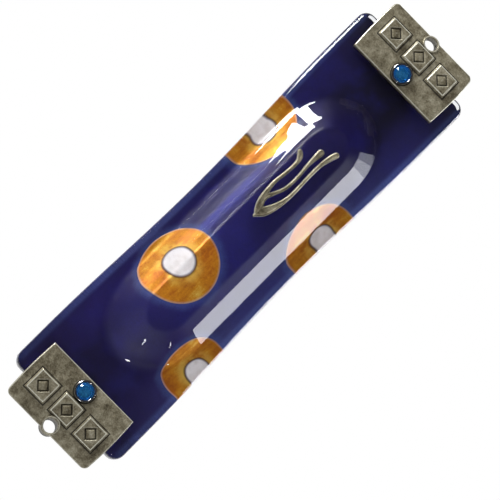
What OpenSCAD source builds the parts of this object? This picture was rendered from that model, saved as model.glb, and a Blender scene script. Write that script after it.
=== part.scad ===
// Fused-glass mezuzah case with cast pewter end plates.
//
// The case hangs upright on a doorpost. +Z runs up the case, the front faces -Y,
// and the flat back lies in the plane y = 0, with the origin at its centre.
// "Depth" below means the distance in front of that plane, so y = -depth.

/* [Glass] */
// Length of the glass strip
glass_l = 135.6; // [130:0.2:150]
// Width of the glass strip at its ends
glass_w = 38; // [36:0.5:40]
// How far each long edge is drawn in at mid length
waist = 1.3; // [0:0.1:1.6]
// Thickness of the glass, its coloured back included
glass_t = 4.2; // [3.8:0.1:4.6]
// Radius of the four corners, seen from the front
corner_r = 3; // [2:0.5:5]
// Radius of the fire-polished front edge
edge_r = 1.6; // [1:0.1:2]
// Thickness of the fired colour on the back
skin_t = 0.5; // [0.3:0.1:0.8]
// Clear margin between the colour and the edge of the glass
clear_margin = 0.9; // [0.5:0.1:1.5]

/* [Pod] */
// Length of the raised pod at its foot
pod_l = 98; // [94:0.2:104]
// Width of the raised pod at its foot
pod_w = 28.4; // [27:0.1:29]
// How far each end of the pod is drawn out: 1 is a half circle
end_stretch = 1.35; // [1:0.05:1.5]
// Slope of the pod's side walls, in degrees
wall_angle = 46; // [44:1:50]
// Radius of the gently domed crown
crown_r = 40; // [30:1:60]
// Half angle of the crown before the shoulder starts, in degrees
crown_angle = 7.5; // [5:0.5:9]
// Outer radius of the shoulder
shoulder_r = 5.2; // [5:0.1:6]
// Radius of the hollow at the pod's foot
foot_r = 1; // [0.8:0.1:1.4]

/* [Plates] */
// Width of each pewter plate
plate_w = 29.6; // [28:0.2:32]
// Length of each plate, measured along its surface
plate_l = 18.3; // [18:0.1:20]
// Thickness of each plate
plate_t = 1.6; // [1.4:0.1:2]
// How far each plate laps onto the glass
plate_lap = 10.5; // [10:0.1:11.5]
// Length of the flat stretch before the plate curves back
flat_l = 6.9; // [6.5:0.1:8]
// Slope of the plate at its outer edge, in degrees
bend_angle = 25; // [15:1:28]
// Radius of the screw holes
screw_r = 1.9; // [1.7:0.1:2]
// Wall of the tube around each screw hole
screw_wall = 0.55; // [0.4:0.05:0.7]
// Side of each square tile
tile = 6.9; // [6:0.1:7]
// Distance from tile to tile
tile_pitch = 8.75; // [8:0.05:9]
// Thickness of the adhesive under the plates
glue_t = 0.3; // [0.2:0.05:0.5]

/* [Crystals] */
// Radius of each stone at its girdle
stone_r = 2.4; // [2:0.1:2.4]
// Wall of the cup that holds the stone
cup_wall = 0.5; // [0.4:0.05:0.6]
// Distance from the plate's inner edge to the stone's centre
stone_at = 3.6; // [3.4:0.05:4]

/* [Scroll] */
// Length of the rolled parchment
scroll_l = 60; // [50:1:60]
// Outer radius of the rolled parchment
scroll_r = 2.7; // [2.2:0.1:2.7]
// Thickness of the parchment
parchment_t = 0.2; // [0.15:0.01:0.25]
// Distance from one turn of the roll to the next
turn_pitch = 0.28; // [0.28:0.01:0.4]
// Wall of the clear sleeve
sleeve_t = 0.2; // [0.1:0.05:0.25]
// Length of the clear sleeve
sleeve_l = 64; // [60:1:64]
// Thickness of the back cover
cover_t = 1; // [0.8:0.1:1.1]

/* [Hidden] */
$fn = 96;

overlap = 1;          // how far a cutting shape runs past the face that it opens
arc_steps = 8;        // straight facets in each arc of the pod's section
foot_x = pod_w / 2;
straight_half = pod_l / 2 - foot_x * end_stretch;
waist_run = 56;       // half length of the drawn-in stretch of each long edge

// ---- The pod's section -------------------------------------------------------
// Every surface of the glass is the front surface moved back by "inset":
// 0 is the front, glass_t is the hollow behind the pod.
shoulder_x = (crown_r - shoulder_r) * sin(crown_angle);
crown_run = (crown_r - shoulder_r) * cos(crown_angle);
wall_offset = foot_r + shoulder_r - (foot_x - shoulder_x) * sin(wall_angle);
crown_h = glass_t + foot_r + crown_r - crown_run - wall_offset / cos(wall_angle);
shoulder_d = crown_h - crown_r + crown_run;

function arc(centre, r, a0, a1, steps) =
    [for (i = [0:steps]) let (a = a0 + (a1 - a0) * i / steps) centre + r * [sin(a), cos(a)]];

// Points from the middle of the crown out to the foot, as [distance from middle, depth].
function half_section(inset) = concat(
    arc([0, crown_h - crown_r], crown_r - inset, 0, crown_angle, 3),
    arc([shoulder_x, shoulder_d], shoulder_r - inset, crown_angle, wall_angle, arc_steps),
    arc([foot_x, glass_t + foot_r], -foot_r - inset, wall_angle, 0, arc_steps)
);

function reversed(list) = [for (i = [len(list) - 1:-1:0]) list[i]];
function to_y(list) = [for (p = list) [p[0], -p[1]]];
function mirrored(list) = [for (p = list) [-p[0], p[1]]];

// Everything behind the surface at "inset", from that surface down to "floor_d".
module pod(inset, floor_d = 0) {
    half = half_section(inset);
    skirt = [[foot_x + 0.5, glass_t - inset - 0.05], [foot_x + 0.5, floor_d - 0.05]];
    side = concat(half, skirt);
    round_end = concat([[0, floor_d - 0.05]], side);
    whole = concat(side, reversed(mirrored(side)));
    linear_extrude(height = 2 * straight_half, center = true) polygon(to_y(whole));
    for (end = [0, 1])
        mirror([0, 0, end]) translate([0, 0, straight_half]) scale([1, 1, end_stretch])
            rotate([90, 0, 0]) rotate_extrude(angle = 180) polygon(round_end);
}

// ---- The strip's outline -----------------------------------------------------
// One quarter of the outline, from the middle of the long edge to the middle of the end.
function edge_x(z) = glass_w / 2 - waist * pow(cos(90 * min(1, abs(z) / waist_run)), 2);
function quarter(inset) = concat(
    [for (i = [0:7]) let (z = waist_run * i / 7) [edge_x(z) - inset, z]],
    [for (i = [0:6]) let (a = 90 * i / 6)
        [glass_w / 2 - corner_r + (corner_r - inset) * cos(a),
         glass_l / 2 - corner_r + (corner_r - inset) * sin(a)]]
);
function outline(inset) = let (
    q = quarter(inset),
    right = concat([for (i = [len(q) - 1:-1:1]) [q[i][0], -q[i][1]]], q)
) concat(right, reversed(mirrored(right)));

// The flat strip with a rounded front edge: rings of the outline, stacked front to back.
module rounded_strip() {
    steps = 4;
    rings = concat(
        [[0, 0.5], [0.5, 0]],
        [for (i = [0:steps]) let (a = 90 * i / steps)
            [glass_t - edge_r + edge_r * sin(a), edge_r * (1 - cos(a))]]
    );
    n = len(outline(0));
    points = [for (ring = rings, p = outline(ring[1])) [p[0], -ring[0], p[1]]];
    sides = [for (k = [0:len(rings) - 2], i = [0:n - 1])
        [k * n + i, (k + 1) * n + i, (k + 1) * n + (i + 1) % n, k * n + (i + 1) % n]];
    top = (len(rings) - 1) * n;
    back = [for (i = [0:n / 2 - 2]) [i, i + 1, n - 2 - i, n - 1 - i]];
    front = [for (face = back) [for (i = [3:-1:0]) top + face[i]]];
    polyhedron(points, concat(back, front, sides), convexity = 6);
}

module flat_strip(inset, back_d, front_d) {
    translate([0, -back_d, 0]) rotate([90, 0, 0])
        linear_extrude(height = front_d - back_d) polygon(outline(inset));
}

// ---- The coloured back -------------------------------------------------------
// Where a point of the flat sheet ends up across the strip once it is slumped over
// the mould: "s" is its distance from the middle, along the coloured surface.
skin_inset = glass_t - skin_t / 2;
crown_s = (crown_r - skin_inset) * crown_angle * PI / 180;
shoulder_s = crown_s + (shoulder_r - skin_inset) * (wall_angle - crown_angle) * PI / 180;
wall_start = [shoulder_x, shoulder_d] + shoulder_r * [sin(wall_angle), cos(wall_angle)];
wall_end = [foot_x, glass_t + foot_r] - foot_r * [sin(wall_angle), cos(wall_angle)];
wall_s = shoulder_s + norm(wall_end - wall_start);
foot_s = wall_s + (foot_r + skin_inset) * wall_angle * PI / 180;
wall_inner_x = wall_start[0] - skin_inset * sin(wall_angle);

function plan_x(s) = let (a = abs(s), side = s < 0 ? -1 : 1) side * (
    a < crown_s ? (crown_r - skin_inset) * sin(a / (crown_r - skin_inset) * 180 / PI)
    : a < shoulder_s ? shoulder_x + (shoulder_r - skin_inset)
        * sin(crown_angle + (a - crown_s) / (shoulder_r - skin_inset) * 180 / PI)
    : a < wall_s ? wall_inner_x + (a - shoulder_s) * cos(wall_angle)
    : a < foot_s ? foot_x - (foot_r + skin_inset)
        * sin(wall_angle - (a - wall_s) / (foot_r + skin_inset) * 180 / PI)
    : foot_x + a - foot_s);

// Each amber spot and the white dot in it: place along the sheet, place up the strip, radius.
spots = [[-19.3, 23.1, 11.5], [-6.6, -19.6, 10.9], [18.7, 13.8, 11.2], [18.7, -34.8, 9.2]];
dots = [[-17.4, 23.6, 4], [-6.6, -19.1, 4.2], [18.3, 14.8, 3.6], [20.2, -34.7, 3.4]];

module spot(c) {
    turn = [for (i = [0:39]) 9 * i];
    rotate([90, 0, 0]) translate([0, 0, -overlap])
        linear_extrude(height = crown_h + 2 * overlap)
            polygon([for (a = turn) [plan_x(c[0] + c[2] * cos(a)), c[1] + c[2] * sin(a)]]);
}

module skin() {
    difference() {
        union() {
            flat_strip(clear_margin, 0, skin_t);
            pod(glass_t - skin_t);
        }
        pod(glass_t, -overlap);
        flat_strip(0, -overlap, 0);
    }
}

module glass_shell() color([0.86, 0.92, 0.96, 0.5]) {
    difference() {
        union() {
            rounded_strip();
            pod(0);
        }
        flat_strip(clear_margin, -overlap, skin_t);
        pod(glass_t - skin_t, -overlap);
    }
}

module blue_enamel() color([0.09, 0.07, 0.5]) {
    difference() {
        skin();
        for (c = spots) spot(c);
    }
}

module amber_ring(k) color([0.86, 0.5, 0.06]) {
    intersection() {
        skin();
        difference() {
            spot(spots[k]);
            spot(dots[k]);
        }
    }
}

module white_dot(k) color([0.93, 0.92, 0.92]) {
    intersection() {
        skin();
        spot(dots[k]);
    }
}

// ---- The letter --------------------------------------------------------------
letter_t = 1.3;
letter_back = crown_h + 0.1;
// Each stroke is a list of [x, z, width] along its middle line, from its knob down.
left_stroke = [[-4.92, 23.91, 1.2], [-4.02, 23.05, 1.45], [-3.42, 21.32, 1.1], [-3.52, 17.37, 0.95],
    [-3.97, 13.53, 1], [-3.72, 10.16, 1.3], [-3.02, 7.27, 1.9], [-2.12, 4.96, 1.8], [-1.57, 3.62, 1]];
middle_stroke = [[-0.72, 27.67, 1.8], [-0.82, 25.74, 1.5], [-0.87, 22.66, 1], [-0.57, 19.3, 0.9],
    [-0.57, 15.93, 0.9], [-0.92, 13.43, 0.9], [-1.82, 11.12, 1], [-2.72, 9, 1.3], [-2.82, 7.66, 1.2]];
right_stroke = [[2.63, 30.17, 1.6], [2.08, 28.44, 1.55], [1.53, 25.36, 1.15], [1.43, 21.22, 1], [1.58, 16.89, 1],
    [1.58, 13.04, 1.1], [1.13, 9.97, 1.5], [0.33, 7.27, 2.1], [-0.62, 5.16, 2.4], [-1.52, 2.94, 0.8]];

// A smooth curve through the points of a stroke.
function spline(p, i, t) = let (
    a = p[max(i - 1, 0)], b = p[i], c = p[i + 1], d = p[min(i + 2, len(p) - 1)]
) 0.5 * (2 * b + (c - a) * t + (2 * a - 5 * b + 4 * c - d) * t * t + (3 * b - a - 3 * c + d) * t * t * t);
function smooth(p, steps = 3) = concat(
    [for (i = [0:len(p) - 2], k = [0:steps - 1]) spline(p, i, k / steps)], [p[len(p) - 1]]);
function across(p, i) = let (
    a = p[max(i - 1, 0)], b = p[min(i + 1, len(p) - 1)], d = [b[0] - a[0], b[1] - a[1]]
) [-d[1], d[0]] / norm(d);

// A stroke tapers as its list says, and its first end is rounded.
module stroke(line, thin = 0) {
    p = smooth(line);
    n = across(p, 0);
    r = p[0][2] / 2 - thin;
    polygon(concat(
        [for (i = [0:len(p) - 1]) [p[i][0], p[i][1]] + across(p, i) * (p[i][2] / 2 - thin)],
        [for (i = [len(p) - 1:-1:0]) [p[i][0], p[i][1]] - across(p, i) * (p[i][2] / 2 - thin)],
        [for (i = [1:7]) let (a = 22.5 * i)
            [p[0][0], p[0][1]] - r * cos(a) * n + r * sin(a) * [-n[1], n[0]]]
    ));
}

module letter(back_d, front_d, thin = 0) {
    translate([0, -back_d, 0]) rotate([90, 0, 0]) linear_extrude(height = front_d - back_d) {
        stroke(left_stroke, thin);
        stroke(middle_stroke, thin);
        stroke(right_stroke, thin);
    }
}

module shin_letter() color([0.62, 0.62, 0.57]) letter(letter_back, letter_back + letter_t);

module shin_adhesive() color([0.8, 0.8, 0.75]) {
    difference() {
        letter(crown_h - overlap, letter_back, 0.12);
        pod(0);
    }
}

// ---- The end plates ----------------------------------------------------------
// A plate's own frame: u runs along its surface from the inner edge to the outer one.
plate_back = glass_t + glue_t;
plate_front = plate_back + plate_t;
inner_z = glass_l / 2 - plate_lap;
bend_r = (plate_l - flat_l) / (bend_angle * PI / 180);
function slope(u) = u < flat_l ? 0 : (u - flat_l) / bend_r * 180 / PI;
function front_z(u) = u < flat_l ? inner_z + u : inner_z + flat_l + bend_r * sin(slope(u));
function front_d(u) = plate_front - (u < flat_l ? 0 : bend_r * (1 - cos(slope(u))));
outer_z = front_z(plate_l);
screw_z = outer_z - screw_r - 0.1;
screw_u = flat_l + bend_r * asin((screw_z - inner_z - flat_l) / bend_r) * PI / 180;
screw_front = front_d(screw_u) + 0.35;    // depth of the tube's rim at its middle
side_bow = 0.35;      // how far the plate's sides bow out at mid length
tile_u = 10.35;       // middle of the row of tiles
tile_h = 0.8;
tile_draft = 0.45;    // how far each tile's top is smaller than its foot, per side
cup_r = stone_r + cup_wall;
cup_sink = 1;         // how deep the cup sits in the plate
cup_rise = 0.85;      // how far the cup's rim stands above the plate

module plate_slab() {
    us = concat([0], [for (i = [0:10]) flat_l + (plate_l - flat_l) * i / 10]);
    front = [for (u = us) [front_d(u), front_z(u)]];
    back = [for (u = us) [front_d(u) - plate_t * cos(slope(u)), front_z(u) - plate_t * sin(slope(u))]];
    rotate([0, -90, 180]) linear_extrude(height = plate_w + 2, center = true)
        polygon([for (p = concat(front, reversed(back))) [p[1], p[0]]]);
}

module plate_outline() {
    r = 1.6;
    span = outer_z - inner_z;
    side = [for (i = [0:8]) let (t = i / 8) [
        plate_w / 2 - side_bow + side_bow * sin(180 * t), inner_z - 0.01 + (span + 0.02 - r) * t]];
    corner = [for (i = [1:6]) let (a = 15 * i)
        [plate_w / 2 - side_bow - r + r * cos(a), outer_z + 0.01 - r + r * sin(a)]];
    half = concat(side, corner);
    rotate([90, 0, 0]) linear_extrude(height = plate_front + overlap)
        polygon(concat(half, reversed(mirrored(half))));
}

// A square tile with drafted sides and a diamond cut into its top.
module tile_block() {
    low = tile / 2;
    high = low - tile_draft;
    difference() {
        hull() {
            cube([2 * low, 2 * low, 0.02], center = true);
            translate([0, 0, tile_h]) cube([2 * high, 2 * high, 0.02], center = true);
        }
        translate([0, 0, tile_h - 0.35]) linear_extrude(height = 1) difference() {
            rotate(45) square(3.1, center = true);
            rotate(45) square(2.1, center = true);
        }
    }
}

// The tube that stands on the doorpost round the screw, cut off along the plate's slope.
module screw_tube() {
    difference() {
        translate([0, 0, screw_z]) rotate([90, 0, 0])
            cylinder(r = screw_r + screw_wall, h = plate_front);
        translate([0, -screw_front, screw_z]) rotate([-slope(screw_u), 0, 0])
            translate([-5, -10, -5]) cube(10);
    }
}

module end_plate() {
    difference() {
        union() {
            intersection() {
                plate_slab();
                plate_outline();
            }
            for (k = [-1:1])
                translate([k * tile_pitch, -front_d(tile_u), front_z(tile_u)])
                    rotate([90 - slope(tile_u), 0, 0]) translate([0, 0, -0.12]) tile_block();
            screw_tube();
        }
        translate([0, overlap, screw_z]) rotate([90, 0, 0])
            cylinder(r = screw_r, h = plate_front + 2 * overlap);
        translate([0, cup_sink - plate_front, inner_z + stone_at]) rotate([90, 0, 0])
            cylinder(r = cup_r, h = cup_sink + overlap);
    }
}

module plate_glue() {
    translate([0, -glass_t, inner_z + 3.9]) rotate([90, 0, 0])
        linear_extrude(height = glue_t) rounded_square(24, 5.6, 1.5);
}

module rounded_square(w, h, r) {
    square([w - 2 * r, h], center = true);
    square([w, h - 2 * r], center = true);
    for (x = [-1, 1], y = [-1, 1])
        translate([x * (w / 2 - r), y * (h / 2 - r)]) circle(r = r);
}

// ---- The stones --------------------------------------------------------------
// All three are turned about the stone's own axis, from the bottom of the cup up.
cup_floor = 0.25;
foil_t = 0.1;
pavilion_h = 1.1;
girdle_at = cup_floor + foil_t + pavilion_h;
culet_r = 0.3;
table_r = 1.35;
crown_top = girdle_at + 0.15 + 0.65;

module at_stone() {
    translate([0, cup_sink - plate_front, inner_z + stone_at]) rotate([90, 0, 0])
        rotate_extrude() children();
}

module setting_cup() at_stone() polygon([
    [0, 0], [cup_r, 0], [cup_r, cup_sink + cup_rise - 0.2], [cup_r - 0.2, cup_sink + cup_rise],
    [stone_r - 0.08, cup_sink + cup_rise], [stone_r, girdle_at + 0.15], [stone_r, cup_floor], [0, cup_floor]
]);

module crystal() at_stone() polygon([
    [0, cup_floor + foil_t], [culet_r, cup_floor + foil_t], [stone_r - 0.02, girdle_at],
    [stone_r - 0.02, girdle_at + 0.12], [table_r, crown_top], [0, crown_top]
]);

module crystal_foil() at_stone() polygon([
    [0, cup_floor], [culet_r, cup_floor], [stone_r - 0.02, girdle_at - foil_t],
    [stone_r - 0.02, girdle_at], [culet_r, cup_floor + foil_t], [0, cup_floor + foil_t]
]);

module lower() mirror([0, 0, 1]) children();

// ---- The scroll and its cover ------------------------------------------------
sleeve_r = scroll_r + 0.1 + sleeve_t;
cover_gap = 0.3;      // clearance of the cover in the mouth of the hollow
scroll_d = crown_h - glass_t - 0.35 - sleeve_r;
core_r = 1;
turns = (scroll_r - core_r - parchment_t) / turn_pitch;
steps_per_turn = 20;

function spiral(r0, n) = [for (i = [0:n]) let (a = 360 * i / steps_per_turn)
    (r0 + turn_pitch * i / steps_per_turn) * [cos(a), sin(a)]];

module parchment_scroll() color([0.9, 0.84, 0.68]) {
    n = floor(turns * steps_per_turn);
    translate([0, -scroll_d, 0]) linear_extrude(height = scroll_l, center = true)
        polygon(concat(spiral(core_r, n), reversed(spiral(core_r + parchment_t, n))));
}

module scroll_sleeve() color([0.85, 0.9, 0.95, 0.4]) {
    translate([0, -scroll_d, 0]) difference() {
        cylinder(r = sleeve_r, h = sleeve_l, center = true);
        cylinder(r = sleeve_r - sleeve_t, h = sleeve_l + overlap, center = true);
    }
}

// Half width of the hollow at the cover's inner face.
mouth_x = foot_x - sqrt(pow(foot_r + glass_t, 2) - pow(foot_r + glass_t - cover_t, 2));
cover_x = mouth_x - cover_gap;

module back_cover() color([0.9, 0.93, 0.95, 0.5]) {
    rotate([90, 0, 0]) difference() {
        union() {
            translate([0, 0, cover_t / 2]) cube([2 * cover_x, 2 * straight_half, cover_t], center = true);
            for (end = [-1, 1])
                translate([0, end * straight_half, 0]) scale([1, end_stretch, 1])
                    cylinder(r = cover_x, h = cover_t);
        }
        translate([0, -straight_half - cover_x * end_stretch, -overlap])
            cylinder(r = 3.2, h = cover_t + 2 * overlap);
    }
}

glass_shell();
blue_enamel();
amber_ring(0);  // amber_ring_1
amber_ring(1);  // amber_ring_2
amber_ring(2);  // amber_ring_3
amber_ring(3);  // amber_ring_4
white_dot(0);  // white_dot_1
white_dot(1);  // white_dot_2
white_dot(2);  // white_dot_3
white_dot(3);  // white_dot_4
shin_letter();
shin_adhesive();
color([0.5, 0.48, 0.42]) end_plate();  // upper_plate
color([0.5, 0.48, 0.42]) lower() end_plate();  // lower_plate
color([0.8, 0.8, 0.75]) plate_glue();  // upper_plate_adhesive
color([0.8, 0.8, 0.75]) lower() plate_glue();  // lower_plate_adhesive
color([0.8, 0.8, 0.8]) setting_cup();  // upper_setting_cup
color([0.8, 0.8, 0.8]) lower() setting_cup();  // lower_setting_cup
color([0.05, 0.35, 0.75]) crystal();  // upper_crystal
color([0.05, 0.35, 0.75]) lower() crystal();  // lower_crystal
color([0.85, 0.85, 0.88]) crystal_foil();  // upper_crystal_foil
color([0.85, 0.85, 0.88]) lower() crystal_foil();  // lower_crystal_foil
back_cover();
scroll_sleeve();
parchment_scroll();
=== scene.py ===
import math

import bmesh
import bpy
import numpy as np
from mathutils import Matrix, Vector, noise

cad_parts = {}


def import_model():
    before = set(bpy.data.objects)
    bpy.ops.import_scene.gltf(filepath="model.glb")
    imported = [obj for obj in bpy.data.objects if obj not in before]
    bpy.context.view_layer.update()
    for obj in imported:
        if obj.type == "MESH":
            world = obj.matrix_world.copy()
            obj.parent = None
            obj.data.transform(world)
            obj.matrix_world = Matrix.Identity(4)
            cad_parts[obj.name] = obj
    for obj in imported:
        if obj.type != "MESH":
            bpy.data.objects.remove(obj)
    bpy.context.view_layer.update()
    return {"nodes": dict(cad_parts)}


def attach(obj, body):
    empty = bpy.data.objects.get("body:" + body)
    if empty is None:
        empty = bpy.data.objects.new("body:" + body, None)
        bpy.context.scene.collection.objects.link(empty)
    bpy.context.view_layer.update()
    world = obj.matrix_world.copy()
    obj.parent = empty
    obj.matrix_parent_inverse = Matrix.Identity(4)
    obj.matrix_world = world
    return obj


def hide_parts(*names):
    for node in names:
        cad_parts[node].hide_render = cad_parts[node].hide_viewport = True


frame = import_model()

# ---- Sizes, in millimetres, as in the CAD ------------------------------------
GLASS_L, GLASS_W, WAIST, GLASS_T = 135.6, 38.0, 1.3, 4.2
CORNER_R, EDGE_R, BACK_R = 3.0, 1.6, 0.5
SKIN_T, MARGIN = 0.5, 0.9
POD_L, FOOT_X, STRETCH = 98.0, 14.2, 1.35
WALL_A, CROWN_R, CROWN_A = math.radians(46), 40.0, math.radians(7.5)
SHOULDER_R, FOOT_R = 5.2, 1.0
STRAIGHT = POD_L / 2 - FOOT_X * STRETCH
WAIST_RUN = 56.0
SHOULDER_X = (CROWN_R - SHOULDER_R) * math.sin(CROWN_A)
CROWN_RUN = (CROWN_R - SHOULDER_R) * math.cos(CROWN_A)
WALL_OFFSET = FOOT_R + SHOULDER_R - (FOOT_X - SHOULDER_X) * math.sin(WALL_A)
CROWN_H = GLASS_T + FOOT_R + CROWN_R - CROWN_RUN - WALL_OFFSET / math.cos(WALL_A)
SHOULDER_D = CROWN_H - CROWN_R + CROWN_RUN
# The glass front melts into the flange a little more softly than the CAD's small arc.
SOFT_R = 3.4
SOFT_X = FOOT_X + (SOFT_R - FOOT_R) * math.tan(WALL_A / 2)
SPOTS = [(-19.3, 23.1, 11.5), (-6.6, -19.6, 10.9), (18.7, 13.8, 11.2), (18.7, -34.8, 9.2)]
DOTS = [(-17.4, 23.6, 4.0), (-6.6, -19.1, 4.2), (18.3, 14.8, 3.6), (20.2, -34.7, 3.4)]


# ---- The slumped surface -----------------------------------------------------
def depth(x, z, inset):
    """How far the surface "inset" behind the front stands off the back plane."""
    rho = abs(x) if abs(z) < STRAIGHT else math.hypot(x, (abs(z) - STRAIGHT) / STRETCH)
    r1, r2, r3 = CROWN_R - inset, SHOULDER_R - inset, FOOT_R + inset
    x1 = r1 * math.sin(CROWN_A)
    x2 = SHOULDER_X + r2 * math.sin(WALL_A)
    foot = FOOT_X
    if inset == 0:
        r3, foot = SOFT_R, SOFT_X
    x3 = foot - r3 * math.sin(WALL_A)
    if rho <= x1:
        return CROWN_H - CROWN_R + math.sqrt(r1 * r1 - rho * rho)
    if rho <= x2:
        return SHOULDER_D + math.sqrt(max(0, r2 * r2 - (rho - SHOULDER_X) ** 2))
    if rho <= x3:
        return SHOULDER_D + r2 * math.cos(WALL_A) - (rho - x2) * math.tan(WALL_A)
    if rho < foot:
        return GLASS_T - inset + r3 - math.sqrt(max(0, r3 * r3 - (foot - rho) ** 2))
    return GLASS_T - inset


SKIN_IN = GLASS_T - SKIN_T / 2
S1 = (CROWN_R - SKIN_IN) * CROWN_A
S2 = S1 + (SHOULDER_R - SKIN_IN) * (WALL_A - CROWN_A)
X2 = SHOULDER_X + (SHOULDER_R - SKIN_IN) * math.sin(WALL_A)
X3 = FOOT_X - (FOOT_R + SKIN_IN) * math.sin(WALL_A)
S3 = S2 + (X3 - X2) / math.cos(WALL_A)
S4 = S3 + (FOOT_R + SKIN_IN) * WALL_A


def plan_x(s):
    """Where a point of the flat sheet, s from its middle, lies across the slumped strip."""
    a = abs(s)
    if a < S1:
        x = (CROWN_R - SKIN_IN) * math.sin(a / (CROWN_R - SKIN_IN))
    elif a < S2:
        x = SHOULDER_X + (SHOULDER_R - SKIN_IN) * math.sin(CROWN_A + (a - S1) / (SHOULDER_R - SKIN_IN))
    elif a < S3:
        x = X2 + (a - S2) * math.cos(WALL_A)
    elif a < S4:
        x = FOOT_X - (FOOT_R + SKIN_IN) * math.sin(WALL_A - (a - S3) / (FOOT_R + SKIN_IN))
    else:
        x = FOOT_X + a - S4
    return math.copysign(x, s)


def flat_s(x):
    """The inverse of plan_x."""
    a = abs(x)
    if a < (CROWN_R - SKIN_IN) * math.sin(CROWN_A):
        s = (CROWN_R - SKIN_IN) * math.asin(a / (CROWN_R - SKIN_IN))
    elif a < X2:
        turn = math.asin(min(1, (a - SHOULDER_X) / (SHOULDER_R - SKIN_IN)))
        s = S1 + (SHOULDER_R - SKIN_IN) * (turn - CROWN_A)
    elif a < X3:
        s = S2 + (a - X2) / math.cos(WALL_A)
    elif a < FOOT_X:
        s = S4 - (FOOT_R + SKIN_IN) * math.asin((FOOT_X - a) / (FOOT_R + SKIN_IN))
    else:
        s = S4 + a - FOOT_X
    return math.copysign(s, x)


def edge_x(z):
    return GLASS_W / 2 - WAIST * math.cos(math.pi / 2 * min(1, abs(z) / WAIST_RUN)) ** 2


# ---- Meshes ------------------------------------------------------------------
def new_mesh(name, verts, faces, body="case", smooth=True, replaces=None, attrs=None):
    """Vertices in millimetres become a mesh object in metres that rides on a body."""
    me = bpy.data.meshes.new(name)
    me.from_pydata([(x / 1000, y / 1000, z / 1000) for x, y, z in verts], [], faces)
    me.update()
    for key, values in (attrs or {}).items():
        kind, field = ("FLOAT_VECTOR", "vector") if len(np.shape(values)) == 2 else ("FLOAT", "value")
        a = me.attributes.new(key, kind, "POINT")
        a.data.foreach_set(field, np.asarray(values, float).ravel())
    if smooth:
        me.shade_smooth()
    ob = bpy.data.objects.new(name, me)
    bpy.context.scene.collection.objects.link(ob)
    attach(ob, body)
    if replaces:
        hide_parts(*replaces)
    return ob


def rows_at(inset, n_z, n_arc=8):
    """Rows of the strip's outline, bottom to top: (z, half width)."""
    z_arc = GLASS_L / 2 - CORNER_R
    mid = [(z, edge_x(z) - inset) for z in np.linspace(-z_arc, z_arc, n_z)]
    r = CORNER_R - inset
    arc = [(z_arc + r * math.sin(a), GLASS_W / 2 - CORNER_R + r * math.cos(a))
           for a in (math.pi / 2 * k / n_arc for k in range(1, n_arc + 1))]
    return [(-z, w) for z, w in reversed(arc)] + mid + arc


def columns(n_flange=14, n_wall=26, n_crown=16):
    """Shares of the half width, closer together where the pod's wall bends."""
    xs = np.concatenate([np.linspace(0, 5, n_crown, False), np.linspace(5, 14.4, n_wall * 2, False),
                         np.linspace(14.4, 19, n_flange)]) / 19
    return list(-xs[::-1]) + list(xs[1:])


def grid_surface(inset_out, inset_in, us, n_z, wobble=0.0):
    rows = rows_at(inset_out, n_z)
    pts = []
    for z, w in rows:
        for u in us:
            x = u * w
            d = depth(x, z, inset_in)
            if wobble:
                d -= wobble * (0.5 + 0.5 * noise.noise(Vector((x * 0.11, z * 0.075, 3.1))))
            pts.append((x, -d, z))
    n = len(us)
    faces = [(r * n + c, r * n + c + 1, (r + 1) * n + c + 1, (r + 1) * n + c)
             for r in range(len(rows) - 1) for c in range(n - 1)]
    border = [r * n + n - 1 for r in range(len(rows))]
    border += [(len(rows) - 1) * n + c for c in range(n - 2, -1, -1)]
    border += [r * n for r in range(len(rows) - 2, -1, -1)]
    border += list(range(1, n - 1))
    return pts, faces, border


def border_loop(inset, y, us, n_z):
    rows = rows_at(inset, n_z)
    loop = [(w, z) for z, w in rows]
    loop += [(us[c] * rows[-1][1], rows[-1][0]) for c in range(len(us) - 2, -1, -1)]
    loop += [(-w, z) for z, w in rows[-2::-1]]
    loop += [(us[c] * rows[0][1], rows[0][0]) for c in range(1, len(us) - 1)]
    return [(x, y, z) for x, z in loop]


def band(ring, new):
    """Faces between two closed rings of the same length."""
    n = len(ring)
    return [(ring[k], new[k], new[(k + 1) % n], ring[(k + 1) % n]) for k in range(n)]


def skirted(front, loops, back):
    """A closed mesh: a front grid, rings of points round it, then a back grid."""
    pts, faces, ring = list(front[0]), list(front[1]), list(front[2])
    for loop in loops:
        base = len(pts)
        pts += loop
        new = list(range(base, base + len(loop)))
        faces += band(ring, new)
        ring = new
    base = len(pts)
    pts += back[0]
    faces += [tuple(base + v for v in reversed(f)) for f in back[1]]
    faces += band(ring, [base + v for v in back[2]])
    return pts, faces


def glass_shell():
    us, n_z = columns(), 340
    front_steps, back_steps = 9, 4
    front = grid_surface(EDGE_R, 0, us, n_z, wobble=0.05)
    loops = []
    for k in range(1, front_steps + 1):
        a = math.pi / 2 * k / front_steps
        y = -(GLASS_T - EDGE_R + EDGE_R * math.cos(a))
        loops.append(border_loop(EDGE_R * (1 - math.sin(a)), y, us, n_z))
    for k in range(back_steps + 1):
        a = math.pi / 2 * k / back_steps
        loops.append(border_loop(BACK_R * (1 - math.cos(a)), -BACK_R * (1 - math.sin(a)), us, n_z))
    loops.append(border_loop(MARGIN, 0, us, n_z))
    back = grid_surface(MARGIN, GLASS_T - SKIN_T, us, n_z)
    pts, faces = skirted(front, loops, back)
    return new_mesh("glass_shell_fine", pts, faces, replaces=["glass_shell"])


def blue_enamel():
    us, n_z = columns(), 300
    out = MARGIN - 0.02
    front = grid_surface(out, GLASS_T - SKIN_T - 0.02, us, n_z)
    back = grid_surface(out, GLASS_T - 0.02, us, n_z)
    pts, faces = skirted(front, [], back)
    flat = [(flat_s(x), z, abs(x) / edge_x(z)) for x, y, z in pts]
    return new_mesh("blue_enamel_fine", pts, faces, replaces=["blue_enamel"],
                    attrs={"flat": flat})


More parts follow.
